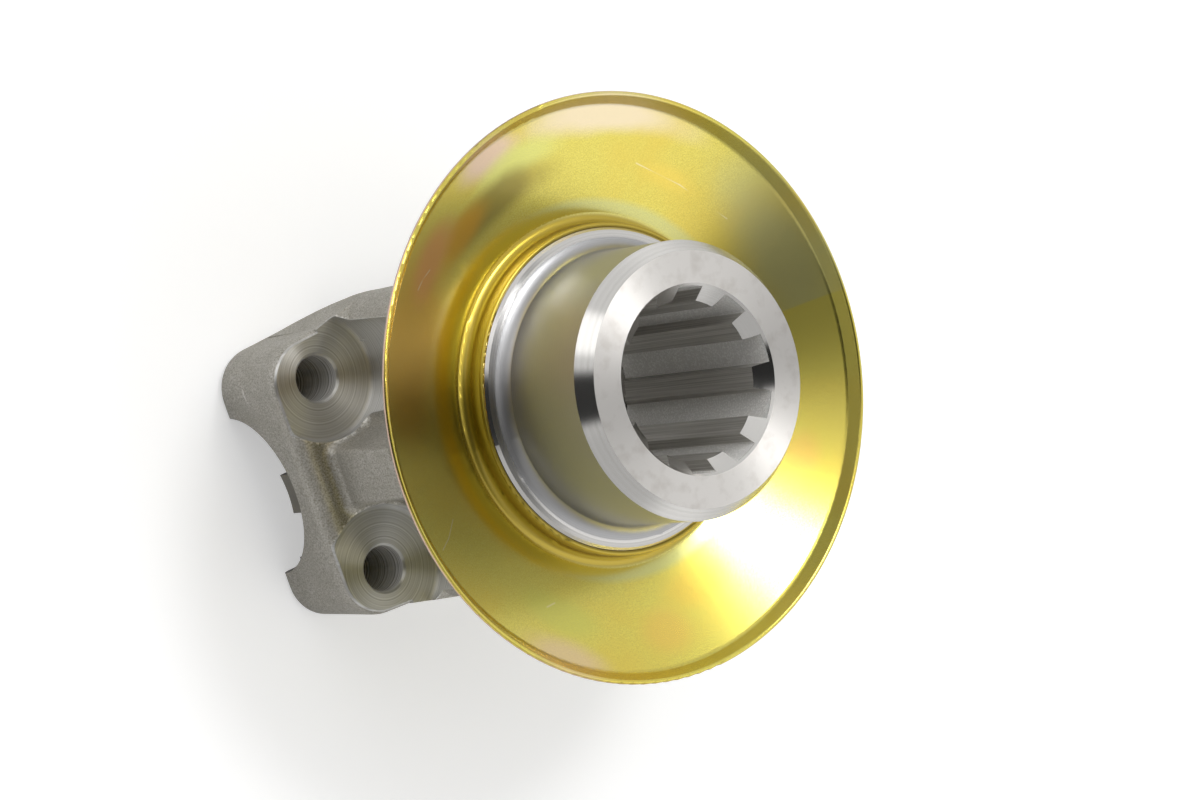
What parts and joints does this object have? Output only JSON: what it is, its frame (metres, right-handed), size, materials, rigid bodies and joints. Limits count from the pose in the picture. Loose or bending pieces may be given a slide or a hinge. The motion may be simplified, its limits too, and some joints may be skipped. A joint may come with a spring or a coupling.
{
  "type": "forged end yoke",
  "caption": "Forged half-round end yoke with a splined hub, U-bolt ears and a pressed-on plated sheet dust shield.",
  "frame": {"origin": "where the hub axis crosses the trunnion axis, in the plane of the ear tips that the part stands on", "axes": "+Z along the hub axis towards the splined nose, +X along the trunnion axis through the ears, +Y across the ears"},
  "size_m": [0.1024, 0.1024, 0.076],
  "materials": {
    "forged_steel": "shot-blasted forging with turned and milled seats",
    "yellow_zinc": "yellow chromated zinc plate on pressed steel sheet"
  },
  "bodies": {
    "root": {"forged_yoke": "forged_steel", "dust_shield": "yellow_zinc"}
  },
  "joints": []
}
